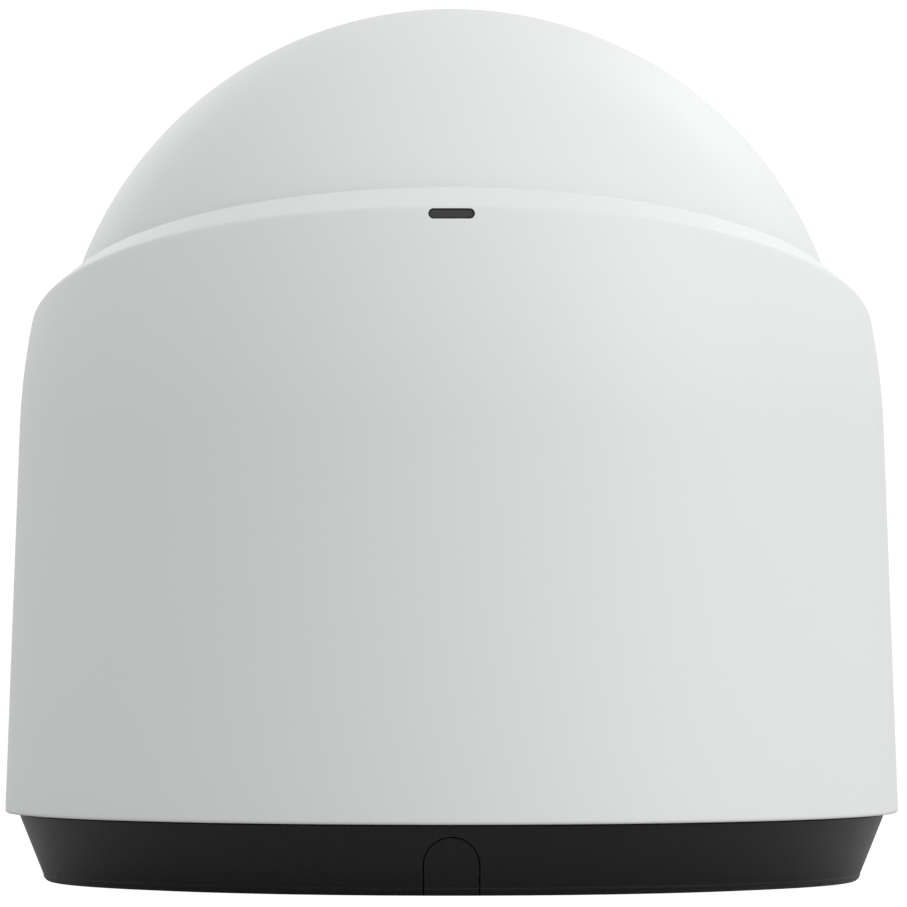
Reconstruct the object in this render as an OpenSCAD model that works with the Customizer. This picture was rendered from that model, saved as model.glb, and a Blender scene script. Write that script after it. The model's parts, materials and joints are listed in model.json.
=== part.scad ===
// Pan-tilt-zoom camera: a ball head sunk in a round housing, which turns on a round base.
// Millimetres. The origin is the centre of the mounting face, +Z is up and the lens looks towards -Y.
// Inside the ball, stations along the lens axis are distances in front of the ball's centre.

/* [Housing] */
// Diameter of the housing at its bottom edge
housing_d = 120; // [119.5:0.5:120.5]
// Height of the housing's bottom edge
housing_z = 9.2; // [9.2:0.1:9.5]
// Draft of the barrel, in mm of radius per mm of height
housing_draft = 0.0369; // [0.035:0.001:0.039]
// Thickness of the housing's wall
housing_wall = 2.2; // [2:0.1:2.3]
// Height at which the barrel starts to curve inwards
crown_z = 60.6; // [59:0.2:62]
// Radius of that curve
crown_r = 91; // [89:1:94]
// Slope of the rim in degrees, low at the front and high at the back
rim_tilt = 15.6; // [15:0.2:16.2]
// Distance from the ball's centre to the ridge of the rim, along the sloping axis
rim_rise = 13.6; // [13.2:0.1:14]
// Radius that the rim's chamfer gains per mm of depth
rim_chamfer = 1.09; // [1:0.01:1.2]

/* [Ball head] */
// Radius of the ball
ball_r = 53.25; // [53.1:0.05:53.3]
// Height of the ball's centre
ball_z = 63.95; // [63.9:0.05:64.1]
// Gap between the ball and the housing's bore
ball_gap = 1.5; // [1.4:0.1:1.6]
// Thickness of the ball's shells
shell_wall = 2; // [1.8:0.1:2]
// Height in degrees of the lens's axis above level, at rest
lens_elevation = 25; // [22:1:28]
// Distance of the seam between the two shells in front of the ball's centre
seam_f = 22; // [21:0.5:23]
// Radius of the dark face window
window_r = 24; // [23.5:0.1:24.2]

/* [Status light] */
// Width of the slot
slot_w = 6; // [5:0.5:7]
// Height of the slot
slot_h = 1.3; // [1:0.1:1.4]
// Height of the slot's centre
slot_z = 87.55; // [87.5:0.05:87.8]

/* [Base] */
// Radius of the base at the mounting face
base_r = 54.5; // [54.5:0.1:55]
// Outward slope of the base, in mm of radius per mm of height
base_slope = 0.4; // [0.38:0.01:0.4]
// Thickness of the mounting plate
plate_t = 1.6; // [1.2:0.1:1.6]
// Circle of the four mounting screws
mount_pcd = 76; // [74:1:78]
// Radius of the mounting screw holes
mount_hole_r = 2.25; // [2:0.05:2.5]
// Width of the cable notch
notch_w = 7.4; // [7:0.1:7.8]
// Height of the cable notch
notch_h = 7.6; // [7.6:0.1:8]

/* [Pan drive] */
// Module of the pan gears
pan_module = 0.8; // [0.8:0.1:0.8]
// Teeth of the fixed ring gear
ring_teeth = 110; // [110:2:110]
// Teeth of the pan pinion
pan_teeth = 12; // [12:1:12]
// Direction of the pan motor round the base, in degrees
pan_motor_at = 215; // [205:5:225]
// Radius of the circle of bearing balls
bearing_r = 37; // [37:0.1:37.1]
// Number of bearing balls
bearing_balls_n = 24; // [16:2:28]

/* [Tilt drive] */
// Module of the tilt gears
tilt_module = 0.6; // [0.6:0.1:0.6]
// Teeth of the gear fixed on the right axle
sun_teeth = 40; // [40:2:40]
// Teeth of the tilt pinion
tilt_teeth = 12; // [12:1:12]
// Radius of the tilt axles
axle_r = 4; // [3.8:0.1:4]

/* [Lens] */
// Inner radius of the lens barrel
barrel_r = 12; // [12:0.1:12.1]
// Middle of the zoom group at its wide end, in front of the ball's centre
zoom_f = 34; // [33.8:0.1:34]
// Middle of the focus group, in front of the ball's centre
focus_f = 14; // [13.8:0.1:14.2]
// Radius of the lead screws
screw_r = 1; // [0.9:0.05:1]
// Number of infrared lamps round the lens
lamp_n = 6; // [4:1:8]

/* [Hidden] */
$fn = 96;

white = [0.93, 0.94, 0.94];
black = [0.11, 0.11, 0.12];
steel = [0.66, 0.67, 0.69];
brass = [0.80, 0.66, 0.36];
board_green = [0.10, 0.30, 0.18];
cable_orange = [0.80, 0.45, 0.15];

bore_r = ball_r + ball_gap;
draft_angle = atan(housing_draft);
collar_z = 58;         // the bore over the ball starts at this height
crown_x = barrel_at(crown_z) - crown_r * cos(draft_angle);
crown_cz = crown_z - crown_r * sin(draft_angle);
side_flat_x = 52;      // the ball is flat beyond this, out of sight under the rim
arm_x = 52.3;          // inner face of the yoke's arms
arm_t = 1.8;
arm_r = 7;             // half width of an arm, and the radius of its end
base_lip_z = 8.95;     // top of the base's taper, just under the housing
floor_z = plate_t + 1.6;
plate_r = 50.5;
board_z = 5;           // underside of the main board
board_t = 1.2;
deck_z = 9;            // underside of the deck
deck_t = 1.4;
deck_top = deck_z + deck_t;
ledge_r = 53;          // inside of the base's wall under the deck
jack_y = [13.6, 31.4]; // back and mouth of the Ethernet jack
jack_x = 8.1;
jack_top = 10.9;
bay_x = 10;            // half width of the plug bay behind the jack's mouth
bay_wall = 1.2;
gear_h = 4;            // height of the ring gear above the deck
ring_r = pan_module * ring_teeth / 2;
pan_centre_r = ring_r + pan_module * pan_teeth / 2;
race_z = [deck_top + 1, deck_top + 6];
ball_row_z = 14.2;     // height of the bearing balls' centres
bead_r = 1.5;
table_z = [17, 19.4];  // underside and top of the yoke's turntable
table_r = [32, 55.3];
boss_angles = [30, 150, 270];
boss_r = 52.6;
deck_screw_angles = [30, 150, 210, 330];
deck_screw_r = 47;
hook_at = [4, 184, 274];
board_screw_at = [[38, 0], [-38, 0], [-13, -36], [13, -36]];
sun_r = tilt_module * sun_teeth / 2;
tilt_centre = sun_r + tilt_module * tilt_teeth / 2;
tilt_gear_x = [38.5, 41.5];
chassis_f = [3, 5];    // back and front faces of the chassis plate
post_x = 30;           // posts that carry the chassis, right and left, up and down
post_z = 24;
drive_x = 20;          // distance of the lead screws from the lens axis
rod_z0 = 10;           // distance of the guide rods from the lens axis
rod_r = 0.8;
clearance = 0.05;

function barrel_at(z) = housing_d / 2 - housing_draft * (z - housing_z);
function base_at(z) = base_r + base_slope * z;
// Involute of a pressure angle, in degrees
function involute(a) = tan(a) * 180 / PI - a;

// ---------- shared shapes ----------
module block(lo, hi) translate(lo) cube(hi - lo);
module rod_x(r, x0, x1, y = 0, z = 0) translate([x0, y, z]) rotate([0, 90, 0]) cylinder(r = r, h = x1 - x0);
module rod_z(r, z0, z1, x = 0, y = 0) translate([x, y, z0]) cylinder(r = r, h = z1 - z0);
module ring_z(r0, r1, z0, z1) rotate_extrude() translate([r0, z0]) square([r1 - r0, z1 - z0]);
// A rod along the lens axis, from one distance in front of the ball's centre to another
module rod_f(r, f0, f1, x = 0, z = 0) translate([x, -f1, z]) rotate([-90, 0, 0]) cylinder(r = r, h = f1 - f0);
module block_f(x, f, z) block([x[0], -f[1], z[0]], [x[1], -f[0], z[1]]);
// A section in (radius, distance in front of the ball's centre), turned round the lens axis
module turned_f() rotate([90, 0, 0]) rotate_extrude() children();
module ring_f(r0, r1, f0, f1) turned_f() translate([r0, f0]) square([r1 - r0, f1 - f0]);
module around(angles, r) for (a = angles) rotate([0, 0, a]) translate([r, 0, 0]) children();
module both_sides() { children(); mirror([1, 0, 0]) children(); }
module in_head() translate([0, 0, ball_z]) rotate([-lens_elevation, 0, 0]) children();
module four_posts() for (x = [-post_x, post_x], z = [-post_z, post_z]) translate([x, 0, z]) children();

// A spur gear's outline, with a tooth centred on +X. The flanks are involutes of 20 degrees, run radially
// inside the base circle; slack is taken off each tooth's thickness at the pitch circle.
module gear_outline(m, teeth, addendum, dedendum, slack) {
    pitch = m * teeth / 2;
    base_circle = pitch * cos(20);
    root = pitch - dedendum;
    tip = pitch + addendum;
    half_tooth = 90 / teeth + involute(20) - slack / 2 / pitch * 180 / PI;
    steps = 4;
    low = max(root, base_circle);
    radii = concat(root < low ? [root] : [], [for (k = [0:steps]) low + (tip - low) * k / steps]);
    flank = [for (r = radii) [r, half_tooth - (r > base_circle ? involute(acos(base_circle / r)) : 0)]];
    n = len(flank);
    polygon([for (t = [0:teeth - 1], k = [0:2 * n - 1])
        let (p = k < n ? flank[k] : flank[2 * n - 1 - k], a = 360 * t / teeth + (k < n ? -p[1] : p[1]))
        p[0] * [cos(a), sin(a)]]);
}

// A pan-head screw pointing down from z, with a cross recess
module screw(z, length, r = 1, head_r = 1.9, head_h = 1.2) {
    rod_z(r, z - length, z);
    difference() {
        rod_z(head_r, z, z + head_h);
        for (a = [0, 90]) rotate([0, 0, a])
            block([-head_r * 0.6, -0.25, z + head_h * 0.5], [head_r * 0.6, 0.25, z + head_h + 1]);
    }
}

// ---------- base ----------
module base_section() {
    fillet = 1;
    polygon([[0, fillet], [base_at(fillet), fillet], [base_at(base_lip_z), base_lip_z], [0, base_lip_z]]);
    square([base_at(fillet) - fillet, fillet]);
    intersection() {
        translate([base_at(fillet) - fillet, fillet]) circle(fillet);
        square([base_at(fillet), fillet]);
    }
}
module arch(w, h, y0, y1) {
    translate([0, y1, 0]) rotate([90, 0, 0]) linear_extrude(y1 - y0) {
        translate([-w / 2, 0]) square([w, h - w / 2]);
        translate([0, h - w / 2]) circle(w / 2);
    }
}
module plug_opening(x, y0, z0, z1) block([-x, y0, z0], [x, plate_r + 0.3, z1]);
module base_shell() color(black) {
    button_hole_r = 1.4;
    difference() {
        union() {
            rotate_extrude() difference() {
                base_section();
                square([plate_r + 0.3, plate_t]);
                translate([0, floor_z]) square([ledge_r, base_lip_z]);
            }
            ring_z(55.6, 56.9, base_lip_z, base_lip_z + 2);
            around(deck_screw_angles, deck_screw_r) rod_z(3.2, floor_z, deck_z - 0.05);
            for (p = board_screw_at) rod_z(3, floor_z, board_z, p[0], p[1]);
            intersection() {
                union() {
                    both_sides() block([bay_x, jack_y[1] - 1.2, plate_t], [bay_x + bay_wall, ledge_r, deck_z]);
                    block([-bay_x, jack_y[1] - 1.2, plate_t], [bay_x, jack_y[1], deck_z]);
                }
                rod_z(ledge_r, 0, deck_z);
            }
        }
        ring_z(51.6, 53.3, -1, 0.85);
        plug_opening(bay_x, jack_y[1], -1, floor_z + 1);
        block([-jack_x - 0.2, jack_y[0] - 0.4, -1], [jack_x + 0.2, jack_y[1] + 1, 20]);
        arch(notch_w, notch_h, plate_r - 0.5, base_r + 6);
        around(deck_screw_angles, deck_screw_r) rod_z(1, floor_z - 0.6, deck_z + 1);
        for (p = board_screw_at) rod_z(1, floor_z - 1, board_z + 1, p[0], p[1]);
        around([45:90:315], mount_pcd / 2) rod_z(4.6, 0, floor_z + 1);
        rod_x(button_hole_r, bay_x - 1, bay_x + bay_wall + 1, 40, 7.4);
        for (a = hook_at) rotate([0, 0, a - 14])
            rotate_extrude(angle = 20, $fn = 96) translate([43.5, 0]) square([2.4, floor_z + 1]);
    }
}
module cable_knockout() color(black) {
    slit = 0.18;
    intersection() {
        arch(notch_w - 2 * slit, notch_h - slit, ledge_r + 0.2, base_r + 6);
        rotate_extrude() base_section();
    }
    intersection() {
        arch(notch_w - 2 * slit, notch_h - slit, ledge_r - 0.6, ledge_r + 0.3);
        block([-9, 0, 0], [9, 60, 12]);
    }
    intersection() {
        arch(notch_w + 2, notch_h + 0.7, ledge_r - 1.8, ledge_r - 0.6);
        block([-9, 0, floor_z + 0.3], [9, 60, 12]);
    }
}
module mounting_plate() color(steel) {
    difference() {
        rod_z(plate_r, 0, plate_t);
        block([-bay_x - 0.5, jack_y[0] - 0.6, -1], [bay_x + 0.5, plate_r + 1, plate_t + 1]);
        around([45:90:315], mount_pcd / 2) rod_z(mount_hole_r, -1, plate_t + 1);
        rod_z(8, -1, plate_t + 1);
    }
    // three bayonet hooks that pass through the base's floor and lap over it
    for (a = hook_at) rotate([0, 0, a]) {
        rotate_extrude(angle = 6) translate([44, plate_t]) square([1.4, 3]);
        rotate_extrude(angle = 18) translate([44, floor_z + 0.1]) square([1.4, 1.2]);
    }
}
module base_gasket() color([0.2, 0.2, 0.2]) {
    difference() {
        ring_z(51.7, 53.2, 0, 0.85);
        block([-notch_w / 2 - 0.4, 40, -1], [notch_w / 2 + 0.4, 60, 2]);
    }
}
module main_board() color(board_green) {
    difference() {
        rod_z(ledge_r - 0.6, board_z, board_z + board_t);
        block([-jack_x - 0.3, jack_y[0] - 0.5, 0], [jack_x + 0.3, 60, 10]);
        block([-bay_x - bay_wall - 0.4, jack_y[1] - 1.6, 0], [bay_x + bay_wall + 0.4, 60, 10]);
        block([bay_x, 38.2, 0], [bay_x + 3.8, 41.8, 10]);
        around(deck_screw_angles, deck_screw_r) rod_z(3.6, 0, 10);
        for (p = board_screw_at) rod_z(1.2, 0, 10, p[0], p[1]);
        rod_z(5, 0, 10);
    }
}
module board_components() color([0.16, 0.16, 0.17]) {
    z = board_z + board_t;
    block([-7, -28, z], [7, -14, z + 1.4]);
    block([12, -26, z], [21, -14, z + 1]);
    block([-24, -24, z], [-17, -17, z + 0.9]);
    block([-31, 12, z], [-14, 24, z + 2.5]);
    for (x = [14.5, 21, 27.5]) rod_z(2.4, z, z + 2.5, x, 22);
    for (k = [0:4]) block([-20 + 3 * k, 4, z], [-18 + 3 * k, 5, z + 0.6]);
}
module ethernet_jack() color(steel) {
    difference() {
        block([-jack_x, jack_y[0], 0.1], [jack_x, jack_y[1], jack_top]);
        block([-5.95, jack_y[0] + 4, 2.1], [5.95, jack_y[1] + 1, 9]);
        block([-3.1, jack_y[0] + 6, 0.8], [3.1, jack_y[1] + 1, 3]);
    }
}
module reset_switch() color([0.16, 0.16, 0.17]) {
    block([bay_x + 3.9, 37, board_z + board_t], [bay_x + 8, 43, board_z + board_t + 2.5]);
}
module reset_button() color([0.75, 0.76, 0.77]) {
    rod_x(1.3, bay_x - 0.8, bay_x + 3.2, 40, 7.4);
    rod_x(1.55, bay_x + bay_wall + 0.15, bay_x + bay_wall + 1, 40, 7.4);
}
module board_screws() color(steel) {
    for (p = board_screw_at) translate([p[0], p[1], 0]) screw(board_z + board_t, 2.6);
}
module countersunk(grow) {
    rod_z(1, deck_top - 6, deck_top - 1);
    translate([0, 0, deck_top - 1.2]) cylinder(r1 = 1, r2 = 2.2 + grow, h = 1.2 + grow);
}
module base_deck() color(black) {
    difference() {
        union() {
            ring_z(12, 55.2, deck_z, deck_top);
            ring_z(table_r[0], bearing_r - 1.1, deck_top, race_z[0]);
            ring_z(24.2, 25, deck_top, race_z[0] + 3.4);
            ring_z(30.8, 31.6, deck_top, race_z[0] + 3.4);
        }
        block([-jack_x - 0.3, jack_y[0] - 0.3, 0], [jack_x + 0.3, jack_y[1] + 0.2, jack_top + 0.3]);
        around(deck_screw_angles, deck_screw_r) countersunk(0.6);
        around([90, 210, 330], 42.3) rod_z(0.6, 0, 20);
    }
}
module deck_screws() color(steel) {
    around(deck_screw_angles, deck_screw_r) difference() {
        countersunk(0);
        block([-1.2, -0.25, deck_top - 0.6], [1.2, 0.25, deck_top + 1]);
    }
}

// ---------- pan drive ----------
module stop_lug(z0, z1) rotate([0, 0, -2.3])
    rotate_extrude(angle = 4.6) translate([41.7, z0]) square([1.3, z1 - z0]);
module pan_ring_gear() color([0.85, 0.84, 0.80]) {
    rotate([0, 0, pan_motor_at]) translate([0, 0, deck_top]) linear_extrude(gear_h) difference() {
        gear_outline(pan_module, ring_teeth, 0.65 * pan_module, 1.2 * pan_module, 0.12);
        circle(41.5);
    }
    around([90, 210, 330], 42.3) rod_z(0.6, deck_z + 0.2, deck_top + 0.5);
    rotate([0, 0, 90]) stop_lug(deck_top + gear_h, deck_top + gear_h + 1.4);
}
module groove(r) translate([bearing_r, ball_row_z]) circle(r);
module bearing_inner_race() color(steel) rotate_extrude() difference() {
    translate([bearing_r - 4, race_z[0]]) square([3.2, race_z[1] - race_z[0] - 0.2]);
    groove(bead_r + 0.05);
}
module bearing_outer_race() color(steel) rotate_extrude() difference() {
    translate([bearing_r + 0.8, race_z[0] + 0.8]) square([3.2, table_z[0] - race_z[0] - 0.8]);
    groove(bead_r + 0.05);
}
module bead_row(r) around([for (k = [0:bearing_balls_n - 1]) 360 * k / bearing_balls_n], bearing_r)
    translate([0, 0, ball_row_z]) sphere(r);
module bearing_cage() color(brass) difference() {
    ring_z(bearing_r - 0.5, bearing_r + 0.5, ball_row_z - 1.9, ball_row_z + 1.2);
    bead_row(bead_r + 0.06);
}
module bearing_balls() color([0.8, 0.8, 0.82]) bead_row(bead_r);
module pan_flex_cable() color(cable_orange) {
    turns = 3;
    steps = 108;
    thick = 0.3;
    spiral = [for (k = [0:steps]) [26 + 4 * k / steps, 360 * turns * k / steps]];
    translate([0, 0, race_z[0] + 0.2]) linear_extrude(3) polygon(concat(
        [for (p = spiral) p[0] * [cos(p[1]), sin(p[1])]],
        [for (k = [steps:-1:0]) (spiral[k][0] + thick) * [cos(spiral[k][1]), sin(spiral[k][1])]]));
}
module at_pan_motor() rotate([0, 0, pan_motor_at]) translate([pan_centre_r, 0, 0]) children();
module pan_pinion() color(brass) at_pan_motor() difference() {
    translate([0, 0, deck_top + 0.5]) rotate([0, 0, 180 / pan_teeth]) union() {
        linear_extrude(gear_h - 1) gear_outline(pan_module, pan_teeth, 0.85 * pan_module, pan_module, 0.12);
        rod_z(2.4, gear_h - 1, gear_h + 1);
    }
    rod_z(1, 0, 20);
}
module pan_motor() color([0.55, 0.56, 0.58]) at_pan_motor() {
    rod_z(7.4, table_z[1], table_z[1] + 9.8);
    rod_z(3, table_z[0] + 0.6, table_z[1]);
    rod_z(0.95, deck_top + 0.6, table_z[1]);
}

// ---------- yoke and housing ----------
module axle_bore(r, extra = 1) rod_x(r, arm_x - extra, arm_x + arm_t + extra, 0, ball_z);
module yoke_frame() color([0.2, 0.2, 0.21]) {
    difference() {
        union() {
            ring_z(table_r[0], table_r[1], table_z[0], table_z[1]);
            both_sides() {
                block([arm_x, -arm_r, table_z[0]], [arm_x + arm_t, arm_r, ball_z]);
                rod_x(arm_r, arm_x, arm_x + arm_t, 0, ball_z);
                for (y = [-arm_r + 0.8, 0, arm_r - 0.8])
                    block([arm_x - 2.6, y - 0.8, table_z[1] - 1], [arm_x + 0.5, y + 0.8, table_z[1] + 9]);
            }
            rotate([0, 0, 270]) stop_lug(deck_top + gear_h + 0.3, table_z[0] + 0.5);
        }
        both_sides() axle_bore(axle_r);
        at_pan_motor() rod_z(3, 0, 30);
        around(boss_angles, boss_r) rod_z(1.1, 0, 30);
        around([60, 120, 300], 42) rod_z(4, 18.4, 30);
    }
}
module tilt_axle_right() color(steel) rod_x(axle_r, tilt_gear_x[0], arm_x + arm_t, 0, ball_z);
module tilt_axle_left() color(steel) mirror([1, 0, 0]) difference() {
    rod_x(axle_r, tilt_gear_x[0], arm_x + arm_t, 0, ball_z);
    rod_x(2.7, 0, 60, 0, ball_z);
}
// Turns a gear outline so that its own +X looks backwards from the tilt axle, square to the lens axis
module tilt_gear_plane() in_head() translate([tilt_gear_x[0], 0, 0])
    multmatrix([[0, 0, 1, 0], [1, 0, 0, 0], [0, 1, 0, 0], [0, 0, 0, 1]]) children();
module tilt_fixed_gear() color([0.85, 0.84, 0.80]) tilt_gear_plane()
    linear_extrude(tilt_gear_x[1] - tilt_gear_x[0]) difference() {
        gear_outline(tilt_module, sun_teeth, 0.65 * tilt_module, 1.2 * tilt_module, 0.1);
        circle(axle_r);
    }
module tilt_pinion() color(brass) tilt_gear_plane() translate([tilt_centre, 0, 0]) difference() {
    rotate([0, 0, 180 / tilt_teeth])
        linear_extrude(tilt_gear_x[1] - tilt_gear_x[0])
            gear_outline(tilt_module, tilt_teeth, 0.85 * tilt_module, tilt_module, 0.1);
    translate([0, 0, -1]) cylinder(r = 1, h = 9);
}

module barrel_section(inset) {
    r = crown_r - inset;
    join = [crown_x + r * cos(draft_angle), crown_cz + r * sin(draft_angle)];
    polygon([[0, housing_z], [barrel_at(housing_z) - inset / cos(draft_angle), housing_z], join, [0, join[1]]]);
    intersection() {
        translate([crown_x, crown_cz]) circle(r);
        translate([0, join[1]]) square([housing_d, 40]);
    }
}
// Everything under the rim's chamfer: a cone on the sloping axis, which meets the bore at the ridge
module under_rim() {
    ridge_r = sqrt(pow(bore_r, 2) - pow(rim_rise, 2));
    below = 90;
    above = 10;
    translate([0, 0, ball_z]) rotate([rim_tilt, 0, 0]) translate([0, 0, rim_rise - below])
        cylinder(r1 = ridge_r + below * rim_chamfer, r2 = ridge_r - above * rim_chamfer, h = below + above);
}
module slot(grow, y0, y1) translate([0, y1, slot_z]) rotate([90, 0, 0]) linear_extrude(y1 - y0) {
    square([slot_w - slot_h, slot_h + 2 * grow], center = true);
    for (x = [-1, 1]) translate([x * (slot_w - slot_h) / 2, 0]) circle(slot_h / 2 + grow);
}
// The hollow of the housing: the barrel less its wall, a straight collar, and a round bore over the ball
module hollow_section() {
    intersection() {
        barrel_section(housing_wall);
        square([housing_d, collar_z]);
    }
    translate([0, collar_z - 1]) square([bore_r, ball_z - collar_z + 1]);
    intersection() {
        translate([0, ball_z]) circle(bore_r);
        translate([0, ball_z]) square(housing_d);
    }
}
module housing() color(white) {
    difference() {
        union() {
            difference() {
                intersection() {
                    rotate_extrude() barrel_section(0);
                    under_rim();
                }
                rotate_extrude() hollow_section();
            }
            intersection() {
                around(boss_angles, boss_r) {
                    rod_z(3, table_z[1], table_z[1] + 9);
                    block([0, -1, table_z[1]], [6, 1, table_z[1] + 9]);
                }
                rotate_extrude() barrel_section(housing_wall / 2);
            }
        }
        around(boss_angles, boss_r) rod_z(0.9, table_z[0], table_z[1] + 7);
        slot(0.05, 48, 56);
        block([-5.5, 46, slot_z - 3], [5.5, 50.6, slot_z + 0.8]);
    }
}
module housing_screws() color(steel) around(boss_angles, boss_r)
    translate([0, 0, table_z[0]]) mirror([0, 0, 1]) screw(0, 8, 0.9);
module status_light_pipe() color([0.25, 0.25, 0.26]) {
    slot(0, 50, 52.6);
    block([-4, 49.95, slot_z - 1.2], [4, 50.55, slot_z + 0.75]);
}
module status_light_board() color(board_green) block([-4.8, 49.3, slot_z - 1.5], [4.8, 49.9, slot_z + 0.3]);

// ---------- ball head ----------
module head_rear_shell() color(white) in_head() difference() {
    intersection() {
        sphere(ball_r);
        block([-side_flat_x, -seam_f, -60], [side_flat_x, 60, 60]);
    }
    difference() {
        sphere(ball_r - shell_wall);
        both_sides() rod_x(12, side_flat_x - 4.5, 60);
        four_posts() rod_f(3, -60, -6);
    }
    rod_x(6, -60, 60);
    four_posts() rod_f(1, -22, 0);
}
module head_front_shell() color(white) in_head() {
    turned_f() {
        intersection() {
            difference() {
                circle(ball_r);
                circle(ball_r - shell_wall);
            }
            translate([window_r + 0.15, seam_f + 0.06]) square(60);
        }
        // ledge that the window is bonded to
        intersection() {
            difference() {
                circle(ball_r - shell_wall + 0.2);
                circle(ball_r - 3.3);
            }
            translate([21.4, 30]) square([4.2, 30]);
        }
    }
    // four tongues that snap into the rear shell
    for (a = [39:90:309]) rotate([90, 0, 0]) rotate([0, 0, a])
        rotate_extrude(angle = 12) translate([44.6, seam_f - 5]) square([1.4, 9]);
}
module face_window() color([0.06, 0.06, 0.07]) in_head() turned_f() intersection() {
    difference() {
        circle(ball_r - 0.1);
        circle(ball_r - shell_wall + 0.3);
    }
    translate([10.7, 30]) square([window_r - 10.7, 30]);
}
module lens_bezel() color(black) in_head() turned_f() intersection() {
    polygon([[10.6, 53.5], [9.9, 53.5], [9.7, 51], [9.7, 49.6], [8.9, 49.6], [8.9, 46.6],
        [13, 46.6], [13, 49.3], [10.6, 49.6]]);
    circle(ball_r - 0.1);
}
module cover_glass() color([0.5, 0.6, 0.65, 0.5]) in_head() rod_f(9.65, 49.65, 50.85);
module lens_barrel() color(black) in_head() {
    difference() {
        union() {
            rod_f(13.2, chassis_f[0], 46);
            rod_f(15, chassis_f[1], chassis_f[1] + 1.4);
            rod_f(16, 42.6, 43.6);
            block_f([12.5, drive_x + 2.6], [39, 41], [-2.6, 2.6]);
            block_f([-drive_x - 4.6, -12.5], [21.4, 23], [-4.6, 4.6]);
        }
        rod_f(barrel_r, 4.6, 60);
        rod_f(6, 0, 6);
        block_f([8, 14], [zoom_f - 14, zoom_f + 3.5], [-2.2, 2.2]);
        block_f([-14, -8], [focus_f - 5.5, focus_f + 5.5], [-2.2, 2.2]);
        for (s = [-1, 1]) rod_f(rod_r, 3.8, 10, 0, s * rod_z0);
        rod_f(screw_r + clearance, 30, 50, drive_x);
        rod_f(1.4, 15, 30, -drive_x);
    }
}
// A round lens between two distances, with spherical faces that bulge by the given amounts
module lens(r, f0, f1, back_bulge, front_bulge) {
    radius_b = (r * r + back_bulge * back_bulge) / 2 / back_bulge;
    radius_f = (r * r + front_bulge * front_bulge) / 2 / front_bulge;
    turned_f() intersection() {
        translate([0, f0]) square([r, f1 - f0]);
        translate([0, f0 + radius_b]) circle(radius_b, $fn = 360);
        translate([0, f1 - radius_f]) circle(radius_f, $fn = 360);
    }
}
module front_lens() color([0.6, 0.65, 0.75, 0.5]) in_head() lens(barrel_r - 0.02, 41, 46, 0.8, 2.4);
module spacer_ring() color(black) in_head() difference() {
    ring_f(8.9, barrel_r - 0.02, 38.8, 41);
    for (s = [-1, 1]) rod_f(rod_r, 30, 50, 0, s * rod_z0);
}
module guide_rods() color(steel) in_head() for (s = [-1, 1]) rod_f(rod_r, 3.9, 40.6, 0, s * rod_z0);
// A lens carrier: a disc that slides in the barrel, with an arm through its slot to a nut on the lead screw
module carrier(f, lens_r) difference() {
    union() {
        rod_f(barrel_r - 0.25, f - 2.5, f + 2.5);
        block_f([9, drive_x], [f - 1.5, f + 1.5], [-1.8, 1.8]);
        rod_f(2.5, f - 2.5, f + 2.5, drive_x);
    }
    rod_f(lens_r, f - 3, f + 3);
    rod_f(screw_r + clearance, f - 4, f + 4, drive_x);
    for (s = [-1, 1]) rod_f(rod_r + clearance, f - 4, f + 4, 0, s * rod_z0);
}
module zoom_carrier() color(black) in_head() carrier(zoom_f, 8);
module focus_carrier() color(black) in_head() mirror([1, 0, 0]) carrier(focus_f, 6.5);
module zoom_lens() color([0.6, 0.65, 0.75, 0.5]) in_head() lens(8, zoom_f - 2.2, zoom_f + 2.2, 1, 1.4);
module focus_lens() color([0.6, 0.65, 0.75, 0.5]) in_head() lens(6.5, focus_f - 2, focus_f + 2, 1, 0.8);
module zoom_screw() color(brass) in_head() rod_f(screw_r, 13.1, 40.6, drive_x);
module zoom_motor() color([0.55, 0.56, 0.58]) in_head() rod_f(4.4, chassis_f[1], 13, drive_x);
module focus_screw() color(brass) in_head() rod_f(screw_r, 5.6, 23, -drive_x);
module focus_motor() color([0.55, 0.56, 0.58]) in_head() rod_f(4.4, 23.05, 31, -drive_x);

// ---------- sensor end of the lens ----------
module sensor_bracket() color(black) in_head() difference() {
    block_f([-17, 18], [-2.2, chassis_f[0]], [-15, 15]);
    block_f([-6, 16.5], [1.1, 3.1], [-5.7, 5.7]);
    rod_f(5, -5, 5);
    block_f([-7.6, 7.6], [-4, -0.4], [-5.6, 5.6]);
    for (x = [-14.5, 14.5], z = [-12.5, 12.5]) rod_f(0.9, -5, 1, x, z);
}
module infrared_cut_filter() color([0.45, 0.75, 0.7]) in_head() block_f([-5.4, 5.4], [1.35, 2.65], [-5.3, 5.3]);
module filter_actuator() color(black) in_head() block_f([-4, 9], [-2, 2.9], [15, 21]);
module image_sensor() color([0.2, 0.2, 0.3]) in_head() block_f([-7, 7], [-2.2, -0.6], [-5, 5]);
module sensor_board() color(board_green) in_head() difference() {
    block_f([-17, 18], [-3.4, -2.2], [-15, 15]);
    for (x = [-14.5, 14.5], z = [-12.5, 12.5]) rod_f(0.9, -5, 1, x, z);
}
module heat_sink() color([0.7, 0.71, 0.73]) in_head() {
    block_f([-12, 12], [-5, -3.4], [-10, 10]);
    for (k = [0:6]) block_f([-12 + 3.8 * k, -10.8 + 3.8 * k], [-11, -5], [-10, 10]);
}
module infrared_lamp_board() color(board_green) in_head() ring_f(13.25, 20.6, 43.6, 44.6);
module infrared_lamps() color([0.85, 0.85, 0.9]) in_head()
    for (k = [0:lamp_n - 1]) rotate([0, 30 + 360 * k / lamp_n, 0]) {
        rod_f(1.5, 44.6, 45.9, 17);
        intersection() {
            translate([17, -45.9, 0]) sphere(1.5);
            rod_f(1.5, 45.9, 48, 17);
        }
    }

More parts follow.
